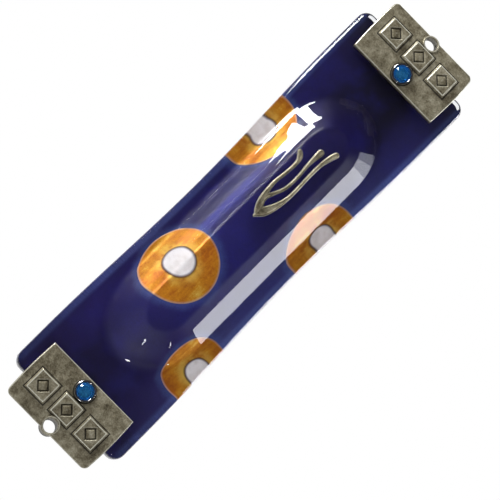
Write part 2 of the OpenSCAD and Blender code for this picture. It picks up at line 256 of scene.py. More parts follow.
def spot_piece(name, centre, r_out, hole, front_in, back_in, node):
    """A ring or a dot of fired colour, round in the flat sheet and cut off at the strip's edge.

    "hole" is the round opening (s, z, r) in a ring, or None for a dot. It lies between
    the surfaces that are "front_in" and "back_in" behind the glass front.
    """
    s0, z0 = centre
    n_a, n_r = 240, 26
    edge_gap = MARGIN - 0.01

    def reach(a, start, far_r):
        low, high = 0.0, far_r
        for _ in range(24):
            mid = (low + high) / 2
            z = start[1] + mid * math.sin(a)
            inside = abs(plan_x(start[0] + mid * math.cos(a))) <= edge_x(z) - edge_gap
            low, high = (mid, high) if inside else (low, mid)
        return low if high < far_r - 1e-6 else far_r

    # Rays start at the hole's centre, which lies inside the ring.
    hs, hz, hr = hole or (s0, z0, 0.0)
    pts, flat, faces, layers, open_ray = [], [], [], [], []
    for inset in (front_in, back_in):
        layer = []
        for i in range(n_a):
            a = 2 * math.pi * i / n_a
            ox, oz = hs - s0, hz - z0
            along = ox * math.cos(a) + oz * math.sin(a)
            full = -along + math.sqrt(along * along - (ox * ox + oz * oz) + r_out * r_out)
            far = reach(a, (hs, hz), full)
            near = min(hr, far)
            if inset == front_in:
                open_ray.append(far <= hr + 1e-6)
            row = []
            for j in range(n_r + 1):
                r = near + (far - near) * j / n_r
                s, z = hs + r * math.cos(a), hz + r * math.sin(a)
                x = plan_x(s)
                x = math.copysign(min(abs(x), edge_x(z) - edge_gap), x)
                row.append(len(pts))
                pts.append((x, -depth(x, z, inset), z))
                flat.append((s, z, (r - hr) / max(0.1, full - hr)))
            layer.append(row)
        layers.append(layer)
    front, back = layers
    for i in range(n_a):
        k2 = (i + 1) % n_a
        if open_ray[i] and open_ray[k2]:
            continue
        for j in range(n_r):
            faces.append((front[i][j], front[i][j + 1], front[k2][j + 1], front[k2][j]))
            faces.append((back[k2][j], back[k2][j + 1], back[i][j + 1], back[i][j]))
        faces.append((front[i][n_r], back[i][n_r], back[k2][n_r], front[k2][n_r]))
        if hole:
            faces.append((front[k2][0], back[k2][0], back[i][0], front[i][0]))
    ob = new_mesh(name, pts, faces, replaces=[node], attrs={"flat": flat})
    merge(ob)
    return ob


def merge(ob, dist=1e-6):
    bm = bmesh.new()
    bm.from_mesh(ob.data)
    bmesh.ops.remove_doubles(bm, verts=bm.verts, dist=dist)
    loose = [v for v in bm.verts if not v.link_faces]
    bmesh.ops.delete(bm, geom=loose, context="VERTS")
    bmesh.ops.recalc_face_normals(bm, faces=bm.faces)
    bm.to_mesh(ob.data)
    bm.free()


# ---- The letter --------------------------------------------------------------
LETTER_T = 1.3
LETTER_BACK = CROWN_H + 0.1
# Each stroke's middle line from its knob down, as (x, z, width).
STROKES = [
    [(-4.92, 23.91, 1.2), (-4.02, 23.05, 1.45), (-3.42, 21.32, 1.1), (-3.52, 17.37, 0.95),
     (-3.97, 13.53, 1), (-3.72, 10.16, 1.3), (-3.02, 7.27, 1.9), (-2.12, 4.96, 1.8), (-1.57, 3.62, 1)],
    [(-0.72, 27.67, 1.8), (-0.82, 25.74, 1.5), (-0.87, 22.66, 1), (-0.57, 19.3, 0.9), (-0.57, 15.93, 0.9),
     (-0.92, 13.43, 0.9), (-1.82, 11.12, 1), (-2.72, 9.0, 1.3), (-2.82, 7.66, 1.2)],
    [(2.63, 30.17, 1.6), (2.08, 28.44, 1.55), (1.53, 25.36, 1.15), (1.43, 21.22, 1), (1.58, 16.89, 1),
     (1.58, 13.04, 1.1), (1.13, 9.97, 1.5), (0.33, 7.27, 2.1), (-0.62, 5.16, 2.4), (-1.52, 2.94, 0.8)],
]


def spline(p, steps=6):
    """A smooth curve through the points of a stroke."""
    out = []
    for i in range(len(p) - 1):
        a, b, c, d = (np.array(p[max(0, min(len(p) - 1, i + k))], float) for k in (-1, 0, 1, 2))
        for k in range(steps):
            t = k / steps
            out.append(0.5 * (2 * b + (c - a) * t + (2 * a - 5 * b + 4 * c - d) * t * t
                              + (3 * b - a - 3 * c + d) * t ** 3))
    return np.array(out + [np.array(p[-1], float)])


MEET_R = 0.35


def letter_field(px, pz):
    """Signed distance to the letter's outline, negative inside."""
    best = np.full(px.shape, 9.0)
    for line in STROKES:
        p = spline(line)
        d = np.full(px.shape, 9.0)
        for a, b in zip(p[:-1], p[1:]):
            ex, ez = b[0] - a[0], b[1] - a[1]
            t = np.clip(((px - a[0]) * ex + (pz - a[1]) * ez) / (ex * ex + ez * ez), 0, 1)
            w = (a[2] + (b[2] - a[2]) * t) / 2
            d = np.minimum(d, np.hypot(px - a[0] - ex * t, pz - a[1] - ez * t) - w)
        # Where two strokes meet, they run into each other with a soft corner.
        h = np.clip(0.5 + 0.5 * (best - d) / MEET_R, 0, 1)
        best = best + (d - best) * h - 0.6 * MEET_R * h * (1 - h)
    return best


def shin_letter():
    """The cast letter: a fine grid pulled onto the outline, with a bevelled, slightly sunk top."""
    step = 0.09
    xs, zs = np.arange(-6.6, 4.2, step), np.arange(1.7, 31.6, step)
    gx, gz = np.meshgrid(xs, zs)
    f = letter_field(gx, gz)
    for _ in range(2):
        e = 0.02
        dx = (letter_field(gx + e, gz) - letter_field(gx - e, gz)) / (2 * e)
        dz = (letter_field(gx, gz + e) - letter_field(gx, gz - e)) / (2 * e)
        near = np.abs(f) < step * 0.75
        g2 = np.maximum(dx * dx + dz * dz, 0.25)
        gx = np.where(near, gx - f * dx / g2, gx)
        gz = np.where(near, gz - f * dz / g2, gz)
        f = letter_field(gx, gz)
    bevel = 0.36
    inside = np.clip(-f, 0, None)
    round_off = 0.42 * np.clip(1 - inside / bevel, 0, 1) ** 1.6
    sunk = 0.10 * np.clip((inside - bevel) / 0.25, 0, 1)
    lump = np.array([[noise.noise(Vector((x * 0.9, z * 0.9, 7))) for x, z in zip(rx, rz)]
                     for rx, rz in zip(gx, gz)])
    top = LETTER_T - round_off - sunk
    top = top - 0.05 * (0.5 + 0.5 * lump)
    keep = f < 0.03
    n_r, n_c = f.shape
    cells = keep[:-1, :-1] & keep[1:, :-1] & keep[:-1, 1:] & keep[1:, 1:]
    index, pts, wear_and_shade = {}, [], []

    def vert(r, c, back):
        key = (r, c, back)
        if key not in index:
            index[key] = len(pts)
            d = LETTER_BACK + (0 if back else top[r, c])
            pts.append((gx[r, c], -d, gz[r, c]))
            wear_and_shade.append(0.85 * float(np.clip(1 - inside[r, c] / 0.26, 0, 1)) - 0.12)
        return index[key]

    faces = []
    for r in range(n_r - 1):
        for c in range(n_c - 1):
            if not cells[r, c]:
                continue
            quad = [(r, c), (r, c + 1), (r + 1, c + 1), (r + 1, c)]
            faces.append(tuple(vert(*q, False) for q in quad))
            faces.append(tuple(vert(*q, True) for q in reversed(quad)))
            for k, (dr, dc) in enumerate(((-1, 0), (0, 1), (1, 0), (0, -1))):
                rr, cc = r + dr, c + dc
                if not (0 <= rr < n_r - 1 and 0 <= cc < n_c - 1 and cells[rr, cc]):
                    a, b = quad[k], quad[(k + 1) % 4]
                    faces.append((vert(*b, False), vert(*a, False), vert(*a, True), vert(*b, True)))
    return new_mesh("shin_letter_cast", pts, faces, replaces=["shin_letter"],
                    attrs={"wear_and_shade": wear_and_shade})


# ---- The end plates ----------------------------------------------------------
PLATE_W, PLATE_L, PLATE_T, PLATE_LAP, FLAT_L = 29.6, 18.3, 1.6, 10.5, 6.9
BEND = math.radians(25)
SCREW_R, SCREW_WALL, GLUE_T = 1.9, 0.55, 0.3
TILE, TILE_PITCH, TILE_U, TILE_DRAFT = 6.9, 8.75, 10.35, 0.45
STONE_R, CUP_WALL, STONE_AT, CUP_SINK, CUP_RISE = 2.4, 0.5, 3.6, 1.0, 0.85
CUP_R = STONE_R + CUP_WALL
PLATE_FRONT = GLASS_T + GLUE_T + PLATE_T
INNER_Z = GLASS_L / 2 - PLATE_LAP
BEND_R = (PLATE_L - FLAT_L) / BEND
OUTER_Z = INNER_Z + FLAT_L + BEND_R * math.sin(BEND)
SCREW_Z = OUTER_Z - SCREW_R - 0.1
SCREW_U = FLAT_L + BEND_R * math.asin((SCREW_Z - INNER_Z - FLAT_L) / BEND_R)


def slope(u):
    """The plate's tilt at u, in radians."""
    return 0.0 if u < FLAT_L else (u - FLAT_L) / BEND_R


def plate_point(x, u, h):
    """A point h above the plate's front surface, u along it from the inner edge."""
    a = slope(u)
    if u < FLAT_L:
        z, d = INNER_Z + u, PLATE_FRONT
    else:
        z = INNER_Z + FLAT_L + BEND_R * math.sin(a)
        d = PLATE_FRONT - BEND_R * (1 - math.cos(a))
    return (x, -(d + h * math.cos(a)), z + h * math.sin(a))


def smoothstep(a, b, v):
    t = min(1.0, max(0.0, (v - a) / (b - a)))
    return t * t * (3 - 2 * t)


def plate_relief(x, u, seed):
    """Height above the bare plate, and how worn (1) or sunk and darkened (-1) the spot is: dark patina in
    the grooves, painted shade in the gap round the stone's cup.
    """
    h, wear_and_shade = 0.0, 0.0
    for k in (-1, 0, 1):
        dx, du = abs(x - k * TILE_PITCH), abs(u - TILE_U)
        m = max(dx, du)
        low, high = TILE / 2, TILE / 2 - TILE_DRAFT
        if m < low + 0.5:
            body = 1 - smoothstep(high - 0.05, low, m)
            h += 0.68 * body
            wear_and_shade += max(0, 1 - abs(m - high + 0.1) / 0.32) - 0.9 * max(0, 1 - abs(m - low - 0.12) / 0.35)
            diamond = dx + du
            groove = max(0, 1 - abs(diamond - 1.84) / 0.42)
            h -= 0.36 * min(1, groove * 1.8)
            wear_and_shade += 0.75 * max(0, 1 - abs(diamond - 2.42) / 0.2) - 1.0 * groove
            wear_and_shade += 0.5 * max(0, 1 - diamond / 1.2)
            h += 0.16 * max(0, 1 - diamond / 1.3) * (1 if diamond < 1.3 else 0)
    from_stone = math.hypot(x, u - STONE_AT)
    # The gap round the cup is a real groove, and painted shade darkens it.
    gap = max(0, 1 - abs(from_stone - CUP_R - 0.12) / 0.32)
    h -= 0.35 * gap
    wear_and_shade -= 0.9 * gap
    lump = noise.noise(Vector((x * 0.55 + seed, u * 0.55, 1.7)))
    lump += 0.5 * noise.noise(Vector((x * 1.7, u * 1.7, seed)))
    h += 0.05 * lump - 0.05
    return h, wear_and_shade


def end_plate(name, node, flip, seed):
    """A cast plate with its tiles in relief, its screw hole, and the tube round the hole."""
    n_x, n_u = 236, 160
    bow, corner = 0.35, 1.6
    pts, wear_and_shade, faces = [], [], []
    front, back = [], []
    for j in range(n_u + 1):
        u = PLATE_L * j / n_u
        half = PLATE_W / 2 - bow + bow * math.sin(math.pi * (j / n_u))
        left = PLATE_L - u
        if left < corner:
            half -= corner - math.sqrt(max(0, corner ** 2 - (corner - left) ** 2))
        f_row, b_row = [], []
        for i in range(n_x + 1):
            x = half * (2 * i / n_x - 1)
            h, w = plate_relief(x, u, seed)
            rim = min(half - abs(x), u, left)
            h -= 0.22 * max(0, 1 - rim / 0.3) ** 2
            w += 0.85 * max(0, 1 - abs(rim - 0.18) / 0.3)
            f_row.append(len(pts))
            b_row.append(len(pts) + 1)
            pts += [plate_point(x, u, h), plate_point(x, u, -PLATE_T)]
            wear_and_shade += [w, 0]
        front.append(f_row)
        back.append(b_row)

    def open_at(j, i):
        x, y, z = pts[front[j][i]]
        return math.hypot(x, z - SCREW_Z) < SCREW_R + 0.28

    for j in range(n_u):
        for i in range(n_x):
            if any(open_at(a, b) for a in (j, j + 1) for b in (i, i + 1)):
                continue
            faces.append((front[j][i], front[j][i + 1], front[j + 1][i + 1], front[j + 1][i]))
            faces.append((back[j + 1][i], back[j + 1][i + 1], back[j][i + 1], back[j][i]))
    for j in range(n_u):
        faces.append((front[j][n_x], back[j][n_x], back[j + 1][n_x], front[j + 1][n_x]))
        faces.append((front[j + 1][0], back[j + 1][0], back[j][0], front[j][0]))
    for i in range(n_x):
        faces.append((front[0][i], back[0][i], back[0][i + 1], front[0][i + 1]))
        if not (open_at(n_u, i) or open_at(n_u, i + 1)):
            faces.append((front[n_u][i + 1], back[n_u][i + 1], back[n_u][i], front[n_u][i]))
    # The tube round the screw: its rim follows the plate's slope.
    tilt, rim_h = math.tan(slope(SCREW_U)), 0.35 - plate_point(0, SCREW_U, 0)[1]
    lip, half_wall = 0.16, SCREW_WALL / 2
    rim = [(SCREW_R + half_wall + half_wall * math.cos(a), lip * math.sin(a))
           for a in (math.pi * (1 - k / 8) for k in range(9))]
    profile = [(SCREW_R, None)] + rim + [(SCREW_R + SCREW_WALL, None)]
    n_t = 96
    base = len(pts)
    for i in range(n_t):
        a = 2 * math.pi * i / n_t
        for r, dh in profile:
            x, z = r * math.cos(a), SCREW_Z + r * math.sin(a)
            d = 0.0 if dh is None else rim_h - lip - (z - SCREW_Z) * tilt + dh
            pts.append((x, -d, z))
            # Painted shade: the tube's walls darken towards the back, down in the screw hole; the rim is
            # lighter at its crest.
            wear_and_shade.append(-0.8 if dh is None else -0.2 + 5 * dh)
    m = len(profile)
    for i in range(n_t):
        for k in range(m):
            a, b = base + i * m + k, base + i * m + (k + 1) % m
            c, d = base + (i + 1) % n_t * m + (k + 1) % m, base + (i + 1) % n_t * m + k
            faces.append((a, d, c, b))
    if flip:
        pts = [(x, y, -z) for x, y, z in pts]
        faces = [tuple(reversed(f)) for f in faces]
    return new_mesh(name, pts, faces, replaces=[node], attrs={"wear_and_shade": wear_and_shade})


# ---- The stones --------------------------------------------------------------
def lathe(name, profile, n, centre, flip, node):
    """Turns a closed profile of (radius, height above the cup's foot) about the stone's axis."""
    pts, faces = [], []
    for i in range(n):
        a = 2 * math.pi * i / n
        for r, h in profile:
            pts.append((r * math.cos(a), centre[0] - h, centre[1] + r * math.sin(a)))
    m = len(profile)
    for i in range(n):
        for k in range(m):
            a, b = i * m + k, i * m + (k + 1) % m
            c, d = (i + 1) % n * m + (k + 1) % m, (i + 1) % n * m + k
            faces.append((a, d, c, b))
    if flip:
        pts = [(x, y, -z) for x, y, z in pts]
        faces = [tuple(reversed(f)) for f in faces]
    ob = new_mesh(name, pts, faces, replaces=[node])
    merge(ob)
    return ob


STONE_Y = CUP_SINK - PLATE_FRONT
STONE_Z = INNER_Z + STONE_AT
CUP_FLOOR, FOIL_T, PAVILION_H, CULET_R, TABLE_R = 0.25, 0.1, 1.1, 0.3, 1.35
GIRDLE = CUP_FLOOR + FOIL_T + PAVILION_H
CROWN_TOP = GIRDLE + 0.15 + 0.65


def setting_cup(name, node, flip):
    """The turned cup, with a rounded rim."""
    top = CUP_SINK + CUP_RISE
    rim = [(CUP_R - 0.3 + 0.3 * math.cos(a), top - 0.26 + 0.26 * math.sin(a))
           for a in (math.pi * k / 12 for k in range(13))]
    profile = [(0.02, 0), (CUP_R, 0)] + rim + [(STONE_R - 0.06, top - 0.3), (STONE_R, GIRDLE + 0.15),
                                               (STONE_R, CUP_FLOOR), (0.02, CUP_FLOOR)]
    return lathe(name, profile, 72, (STONE_Y, STONE_Z), flip, node)


def crystal(name, node, flip, turn):
    """A round cut stone: an eight-sided table, star and kite facets, and a cone of pavilion facets."""
    r = STONE_R - 0.02

    def at(rad, h, k, n):
        a = turn + 2 * math.pi * k / n
        return (rad * math.cos(a), STONE_Y - h, STONE_Z + rad * math.sin(a))

    table = [at(TABLE_R, CROWN_TOP, k, 8) for k in range(8)]
    mid = [at(1.95, GIRDLE + 0.48, k + 0.5, 8) for k in range(8)]
    girdle = [at(r, GIRDLE + 0.12, k, 16) for k in range(16)]
    low = [at(r, GIRDLE, k, 16) for k in range(16)]
    pav = [at(1.25, CUP_FLOOR + FOIL_T + 0.42, k, 8) for k in range(8)]
    culet = [at(CULET_R, CUP_FLOOR + FOIL_T, k, 8) for k in range(8)]
    pts = table + mid + girdle + low + pav + culet
    t, m, g, w, p, c = 0, 8, 16, 32, 48, 56
    faces = [tuple(range(8))]
    for k in range(8):
        k1 = (k + 1) % 8
        faces += [(t + k, m + k, t + k1), (t + k, m + (k - 1) % 8, g + 2 * k, m + k),
                  (m + k, g + 2 * k, g + 2 * k + 1), (m + k, g + 2 * k + 1, g + (2 * k + 2) % 16)]
        faces += [(w + 2 * k, p + k, w + 2 * k + 1), (w + 2 * k + 1, p + k, p + k1),
                  (w + 2 * k + 1, p + k1, w + (2 * k + 2) % 16), (p + k, c + k, c + k1, p + k1)]
    for k in range(16):
        k1 = (k + 1) % 16
        faces.append((g + k, w + k, w + k1, g + k1))
    faces.append(tuple(c + k for k in reversed(range(8))))
    if flip:
        pts = [(x, y, -z) for x, y, z in pts]
    ob = new_mesh(name, pts, faces, replaces=[node], smooth=False)
    merge(ob)
    return ob


# ---- Materials ---------------------------------------------------------------
class Shade:
    """A small helper for building one node material."""

    def __init__(self, name, **base):
        self.mat = bpy.data.materials.new(name)
        self.mat.use_nodes = True
        self.nt = self.mat.node_tree
        self.bsdf = self.nt.nodes["Principled BSDF"]
        self.out = self.nt.nodes["Material Output"]
        for key, value in base.items():
            self.bsdf.inputs[key.replace("_", " ")].default_value = value

    def add(self, kind, inputs=None, **props):
        n = self.nt.nodes.new("ShaderNode" + kind)
        for key, value in props.items():
            setattr(n, key, value)
        for key, value in (inputs or {}).items():
            if isinstance(value, bpy.types.NodeSocket):
                self.nt.links.new(value, n.inputs[key])
            else:
                n.inputs[key].default_value = value
        return n

    def attr(self, name, out="Fac"):
        return self.add("Attribute", attribute_name=name).outputs[out]

    def where(self):
        return self.add("TexCoord").outputs["Object"]

    def math(self, op, a, b=0.0, c=0.0, clamp=False):
        return self.add("Math", {0: a, 1: b, 2: c}, operation=op, use_clamp=clamp).outputs[0]

    def remap(self, v, a, b, c=0.0, d=1.0, smooth=True):
        n = self.add("MapRange", {"Value": v, "From Min": a, "From Max": b, "To Min": c, "To Max": d},
                     interpolation_type="SMOOTHSTEP" if smooth else "LINEAR")
        return n.outputs["Result"]

    def noise(self, vec, scale, detail=3.0, rough=0.5):
        sockets = {"Vector": vec, "Scale": scale, "Detail": detail, "Roughness": rough}
        return self.add("TexNoise", sockets).outputs["Fac"]

    def ramp(self, fac, stops, mode="LINEAR"):
        n = self.add("ValToRGB", {"Fac": fac})
        r = n.color_ramp
        r.interpolation = mode
        while len(r.elements) < len(stops):
            r.elements.new(0.5)
        for e, (p, c) in zip(r.elements, stops):
            e.position = p
            e.color = (*c, 1) if len(c) == 3 else c
        return n.outputs["Color"]

    def mix(self, fac, a, b, mode="MIX"):
        n = self.add("Mix", data_type="RGBA", blend_type=mode, clamp_factor=True)
        for key, value in ((0, fac), (6, a), (7, b)):
            if isinstance(value, bpy.types.NodeSocket):
                self.nt.links.new(value, n.inputs[key])
            else:
                n.inputs[key].default_value = value if key == 0 else (*value, 1)
        return n.outputs[2]

    def link(self, socket, key):
        self.nt.links.new(socket, self.bsdf.inputs[key])

    def bump(self, height, strength=0.3, dist=0.0002):
        n = self.add("Bump", {"Height": height, "Strength": strength, "Distance": dist})
        self.link(n.outputs["Normal"], "Normal")


def srgb(*channels):
    """A colour given from 0 to 255 a channel, as linear light."""
    shares = [c / 255 for c in channels]
    return tuple(v / 12.92 if v <= 0.04045 else ((v + 0.055) / 1.055) ** 2.4 for v in shares)


def put(ob, shade):
    ob.data.materials.clear()
    ob.data.materials.append(shade.mat)


def clear_glass():
    s = Shade("clear_glass", Base_Color=(0.97, 0.98, 1.0, 1), Roughness=0.0, IOR=1.5,
              Transmission_Weight=1.0)
    ripple = s.noise(s.where(), 90.0, 1.0)
    s.bump(ripple, 0.05, 0.0006)
    return s


def deep(r, g, b):
    """A fired blue, seen through thick glass, is deeper than the bare enamel."""
    red, green, blue = srgb(r, g, b)
    return (0.62 * red, 0.5 * green, 0.84 * blue)


def blue_shade():
    s = Shade("blue_enamel", Roughness=0.35, IOR=1.45)
    flat = s.attr("flat", "Vector")
    sep = s.add("SeparateXYZ", {0: flat})
    sheet_x, sheet_z = sep.outputs["X"], sep.outputs["Y"]
    along = s.remap(sheet_z, -70.0, 70.0, smooth=False)
    middle = s.ramp(along, [
        (0.06, deep(24, 16, 58)), (0.16, deep(34, 24, 84)), (0.24, deep(38, 34, 102)),
        (0.34, deep(42, 42, 120)), (0.50, deep(36, 34, 108)), (0.62, deep(36, 30, 100)),
        (0.74, deep(32, 24, 84)), (0.82, deep(20, 13, 52)), (0.93, deep(17, 11, 40))])
    sides = s.ramp(along, [
        (0.06, deep(34, 22, 76)), (0.20, deep(42, 30, 102)), (0.34, deep(40, 34, 104)),
        (0.52, deep(36, 33, 102)), (0.72, deep(30, 24, 82)), (0.86, deep(32, 27, 84)),
        (0.95, deep(28, 24, 60))])
    wide = s.remap(s.math("ABSOLUTE", sheet_x), 6.0, 12.5)
    base = s.mix(wide, middle, sides)
    # A painted reflection: a thin cobalt highlight line down the left wall. And painted light: a paler wash
    # along the right flange, where the bright right side lights it.
    off_wall = s.math("ABSOLUTE", s.math("ADD", sheet_x, 8.2))
    streak = s.math("MULTIPLY", s.remap(off_wall, 0.2, 2.2, 0.8, 0.0),
                    s.remap(s.math("ABSOLUTE", s.math("ADD", sheet_z, 2.0)), 9.0, 24.0, 1.0, 0.0))
    base = s.mix(streak, base, srgb(44, 50, 172))
    right_painted_light = s.math("MULTIPLY", s.remap(sheet_x, 9.0, 18.5, 0.0, 0.85),
                        s.remap(s.math("ABSOLUTE", s.math("ADD", sheet_z, 2.0)), 20.0, 52.0, 1.0, 0.12))
    base = s.mix(right_painted_light, base, srgb(70, 74, 140))
    wash = s.noise(flat, 0.075, 4.0, 0.55)
    base = s.mix(s.remap(wash, 0.42, 0.75, 0.0, 0.35), base, deep(50, 52, 156))
    plane = s.add("CombineXYZ", {0: sheet_x, 1: sheet_z, 2: 0.0}).outputs[0]
    near = None
    for s0, z0, r_out in SPOTS:
        d = s.add("VectorMath", {0: plane, 1: (s0, z0, 0.0)}, operation="DISTANCE").outputs["Value"]
        d = s.math("SUBTRACT", d, r_out)
        near = d if near is None else s.math("MINIMUM", near, d)
    warped = s.math("ADD", near, s.math("MULTIPLY", s.math("SUBTRACT", s.noise(flat, 0.35, 3.0), 0.5), 2.2))
    halo = s.remap(warped, 0.1, 2.6, 0.3, 0.0)
    base = s.mix(halo, base, srgb(88, 116, 190))
    # Painted light: the enamel turns paler towards the strip's long edges, as light glows in through the
    # clear glass rim.
    edge = s.math("MULTIPLY", s.remap(sep.outputs["Z"], 0.86, 0.97, 0.0, 0.8),
                  s.remap(s.math("ABSOLUTE", sheet_z), 26.0, 62.0, 1.0, 0.45))
    base = s.mix(edge, base, srgb(100, 122, 204))
    grain = s.noise(flat, 3.2, 5.0, 0.7)
    base = s.mix(s.remap(grain, 0.35, 0.72, 0.0, 0.4), base, deep(16, 10, 54))
    s.link(base, "Base Color")
    s.bump(grain, 0.15, 0.0001)
    return s


def amber_shade(k):
    s = Shade("amber_lustre_%d" % k, Metallic=0.35, Roughness=0.3)
    flat = s.attr("flat", "Vector")
    sep = s.add("SeparateXYZ", {0: flat})
    streak = s.add("VectorMath", {0: flat, 1: (0.55, 0.09, 0.0)}, operation="MULTIPLY").outputs[0]
    cloud = s.noise(flat, 0.17, 4.0, 0.6)
    fine = s.noise(streak, 1.4, 5.0, 0.65)
    speck = s.noise(flat, 2.4, 4.0, 0.7)
    tone = s.math("ADD", s.math("MULTIPLY", cloud, 0.5), s.math("MULTIPLY", fine, 0.3))
    tone = s.math("ADD", tone, s.math("MULTIPLY", speck, 0.2))
    colour = s.ramp(tone, [
        (0.34, srgb(168, 84, 12)), (0.44, srgb(206, 116, 16)), (0.54, srgb(232, 154, 28)),
        (0.64, srgb(250, 206, 84)), (0.72, srgb(255, 236, 150))])
    r = sep.outputs["Z"]
    gold = s.math("MULTIPLY", s.remap(r, 0.08, 0.5, 0.7, 0.0), s.remap(cloud, 0.35, 0.6))
    colour = s.mix(gold, colour, srgb(255, 214, 96))
    colour = s.mix(s.remap(r, 0.9, 0.985, 0.0, 0.5), colour, srgb(206, 190, 184))
    colour = s.mix(s.remap(r, 0.02, 0.10, 0.85, 0.0), colour, srgb(88, 60, 50))
    s.link(colour, "Base Color")
    s.bump(fine, 0.25, 0.0001)
    return s


def white_shade():
    s = Shade("white_enamel", Roughness=0.3)
    flat = s.attr("flat", "Vector")
    cloud = s.noise(flat, 0.5, 3.0)
    colour = s.ramp(cloud, [(0.3, srgb(232, 228, 226)), (0.6, srgb(252, 250, 250))])
    sep = s.add("SeparateXYZ", {0: flat})
    colour = s.mix(s.remap(sep.outputs["Z"], 0.84, 0.99, 0.0, 0.85), colour, srgb(96, 88, 104))
    s.link(colour, "Base Color")
    return s


def pewter_shade():
    s = Shade("pewter", Metallic=0.5, IOR=1.6)
    at = s.where()
    wear_and_shade = s.attr("wear_and_shade")
    blotch = s.noise(at, 420.0, 5.0, 0.62)
    speck = s.noise(at, 2600.0, 4.0, 0.7)
    mixed = s.math("ADD", s.math("MULTIPLY", blotch, 0.6), s.math("MULTIPLY", speck, 0.4))
    body = s.ramp(mixed, [(0.34, srgb(66, 58, 42)), (0.45, srgb(114, 106, 84)), (0.54, srgb(144, 137, 114)),
                          (0.68, srgb(186, 180, 158))])
    body = s.mix(s.remap(wear_and_shade, 0.25, 0.95), body, srgb(226, 224, 206))
    # Darker where the value is negative: patina in the grooves, and painted shade round the stone cups and
    # inside the screw-hole tubes.
    body = s.mix(s.remap(wear_and_shade, -0.15, -0.85), body, srgb(30, 27, 20))
    s.link(body, "Base Color")
    s.link(s.remap(wear_and_shade, -0.5, 0.9, 0.52, 0.2), "Roughness")
    s.bump(mixed, 0.45, 0.0002)
    return s


def silver_shade():
    s = Shade("silver", Metallic=1.0, Roughness=0.12)
    tone = s.noise(s.where(), 900.0, 3.0)
    s.link(s.ramp(tone, [(0.3, srgb(205, 205, 210)), (0.7, srgb(246, 246, 248))]), "Base Color")
    s.link(s.remap(tone, 0.3, 0.7, 0.08, 0.2), "Roughness")
    return s


def crystal_shade():
    s = Shade("blue_crystal", Roughness=0.0, IOR=1.6, Transmission_Weight=0.88)
    tone = s.noise(s.where(), 500.0, 2.0)
    s.link(s.ramp(tone, [(0.35, (0.02, 0.28, 0.92)), (0.65, (0.06, 0.42, 1.0))]), "Base Color")
    return s


def foil_shade():
    s = Shade("foil", Metallic=1.0, Roughness=0.15)
    tone = s.noise(s.where(), 1500.0, 2.0)
    s.link(s.ramp(tone, [(0.3, (0.75, 0.78, 0.85)), (0.7, (0.92, 0.93, 0.96))]), "Base Color")
    return s


def glue_shade():
    s = Shade("adhesive", Roughness=0.45)
    tone = s.noise(s.where(), 800.0, 3.0)
    s.link(s.ramp(tone, [(0.3, srgb(70, 66, 58)), (0.7, srgb(120, 114, 100))]), "Base Color")
    s.bump(tone, 0.3, 0.0002)
    return s


def clear_sheet_shade():
    s = Shade("clear_sheet", Roughness=0.08, IOR=1.49, Transmission_Weight=0.92)
    at = s.where()
    tint = s.ramp(s.noise(at, 60.0, 2.0), [(0.3, (0.90, 0.94, 0.97)), (0.7, (0.97, 0.98, 1.0))])
    s.link(tint, "Base Color")
    scuff = s.noise(at, 700.0, 5.0, 0.7)
    s.link(s.remap(scuff, 0.45, 0.75, 0.05, 0.22), "Roughness")
    s.bump(scuff, 0.04, 0.0001)
    return s


def parchment_shade():
    s = Shade("parchment", Roughness=0.75)
    at = s.where()
    fibre = s.add("VectorMath", {0: at, 1: (1.0, 1.0, 0.25)}, operation="MULTIPLY").outputs[0]
    tone = s.noise(fibre, 900.0, 6.0, 0.65)
    blot = s.noise(at, 120.0, 3.0)
    both = s.math("ADD", s.math("MULTIPLY", tone, 0.5), s.math("MULTIPLY", blot, 0.5))
    colour = s.ramp(both, [
        (0.32, srgb(206, 186, 146)), (0.5, srgb(226, 210, 174)), (0.68, srgb(240, 228, 200))])
    s.link(colour, "Base Color")
    s.bump(tone, 0.4, 0.0001)
    return s


# ---- Build -------------------------------------------------------------------
put(glass_shell(), clear_glass())
put(blue_enamel(), blue_shade())
white = white_shade()
SKIN_FRONT = GLASS_T - SKIN_T
for k, ((s0, z0, r_out), dot) in enumerate(zip(SPOTS, DOTS), start=1):
    ring = spot_piece("amber_ring_%d_fine" % k, (s0, z0), r_out, dot, SKIN_FRONT - 0.05, GLASS_T,
                      "amber_ring_%d" % k)
    put(ring, amber_shade(k))
    # A dot is a little larger and nearer than its ring's hole, so that no gap shows.
    dot_piece = spot_piece("white_dot_%d_fine" % k, dot[:2], dot[2] + 0.05, None, SKIN_FRONT - 0.08,
                           GLASS_T, "white_dot_%d" % k)
    put(dot_piece, white)
pewter = pewter_shade()
put(shin_letter(), pewter)
put(end_plate("upper_plate_cast", "upper_plate", False, 0.0), pewter)
put(end_plate("lower_plate_cast", "lower_plate", True, 9.0), pewter)
silver, stone = silver_shade(), crystal_shade()
for word, flip, turn in (("upper", False, 0.1), ("lower", True, 0.35)):
    put(setting_cup(word + "_setting_cup_turned", word + "_setting_cup", flip), silver)
    put(crystal(word + "_crystal_cut", word + "_crystal", flip, turn), stone)
for nodes, shade in (
    (("upper_crystal_foil", "lower_crystal_foil"), foil_shade()),
    (("shin_adhesive", "upper_plate_adhesive", "lower_plate_adhesive"), glue_shade()),
    (("back_cover", "scroll_sleeve"), clear_sheet_shade()),
    (("parchment_scroll",), parchment_shade()),
):
    for node in nodes:
        put(frame["nodes"][node], shade)


